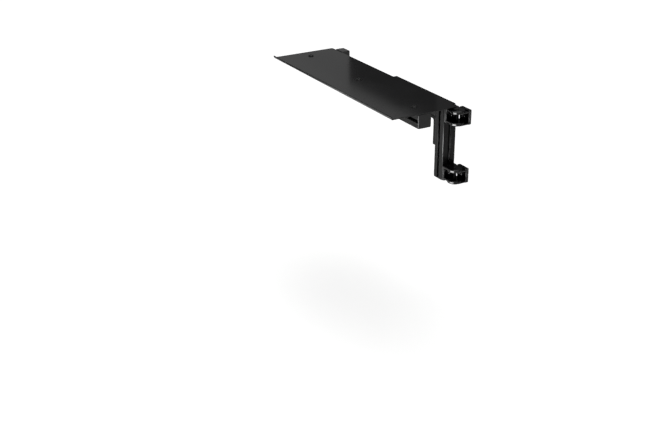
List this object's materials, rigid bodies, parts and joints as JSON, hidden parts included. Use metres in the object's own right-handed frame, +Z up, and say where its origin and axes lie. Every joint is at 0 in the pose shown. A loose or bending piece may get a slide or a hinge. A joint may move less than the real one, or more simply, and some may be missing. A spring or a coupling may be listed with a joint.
{
  "type": "side table",
  "caption": "Swing-out side table for a slotted aluminium frame: sheet steel tray on a beam and arm, height slide on a short post, two lapped pivot joints and a far rest",
  "frame": {"origin": "centre of the upper fixed leaf's back face, which lies on the near upright", "axes": "+X points into the upright, +Y runs along the tray from the pivots to the far upright, +Z is up"},
  "size_m": [0.238, 0.68, 0.217],
  "materials": {
    "anodised_aluminium": "satin black anodised, fine drawn grain",
    "die_cast": "gloss black lacquered die casting",
    "powder_coat": "satin black powder coat, fine texture",
    "cap_plastic": "black moulded nylon",
    "bright_steel": "zinc plated steel",
    "black_steel": "black oxide steel",
    "rubber_pad": "matte black rubber"
  },
  "bodies": {
    "upright_side": {"upper_fixed_leaf": "die_cast", "lower_fixed_leaf": "die_cast", "fixed_leaf_bolts": "black_steel", "hinge_pins": "bright_steel", "far_rest": "die_cast", "rest_shelf": "powder_coat", "rest_pad": "rubber_pad", "rest_bolt": "black_steel"},
    "swing_post": {"upper_moving_leaf": "die_cast", "lower_moving_leaf": "die_cast", "moving_leaf_bolts": "black_steel", "moving_leaf_nuts": "bright_steel", "arm_post": "anodised_aluminium", "post_top_cap": "cap_plastic", "post_bottom_cap": "cap_plastic"},
    "table": {"corner_bracket": "die_cast", "bracket_post_bolts": "black_steel", "bracket_post_nuts": "bright_steel", "bracket_arm_bolts": "black_steel", "bracket_arm_nuts": "bright_steel", "table_arm": "anodised_aluminium", "arm_end_cap": "cap_plastic", "near_cross_plate": "powder_coat", "far_cross_plate": "powder_coat", "cross_arm_bolts": "black_steel", "cross_arm_nuts": "bright_steel", "cross_beam_bolts": "black_steel", "cross_beam_nuts": "bright_steel", "tray_beam": "anodised_aluminium", "beam_near_cap": "cap_plastic", "beam_far_cap": "cap_plastic", "tray_plate": "powder_coat", "tray_screws": "black_steel", "tray_nuts": "bright_steel"}
  },
  "joints": [
    {"name": "table_swing", "type": "hinge", "parent": "upright_side", "child": "swing_post", "pos_m": [-0.03, 0, 0], "axis": [0, 0, 1], "range_deg": [0, 150]},
    {"name": "table_height", "type": "slide", "parent": "swing_post", "child": "table", "axis": [0, 0, 1], "range_m": [0, 0.05]}
  ]
}
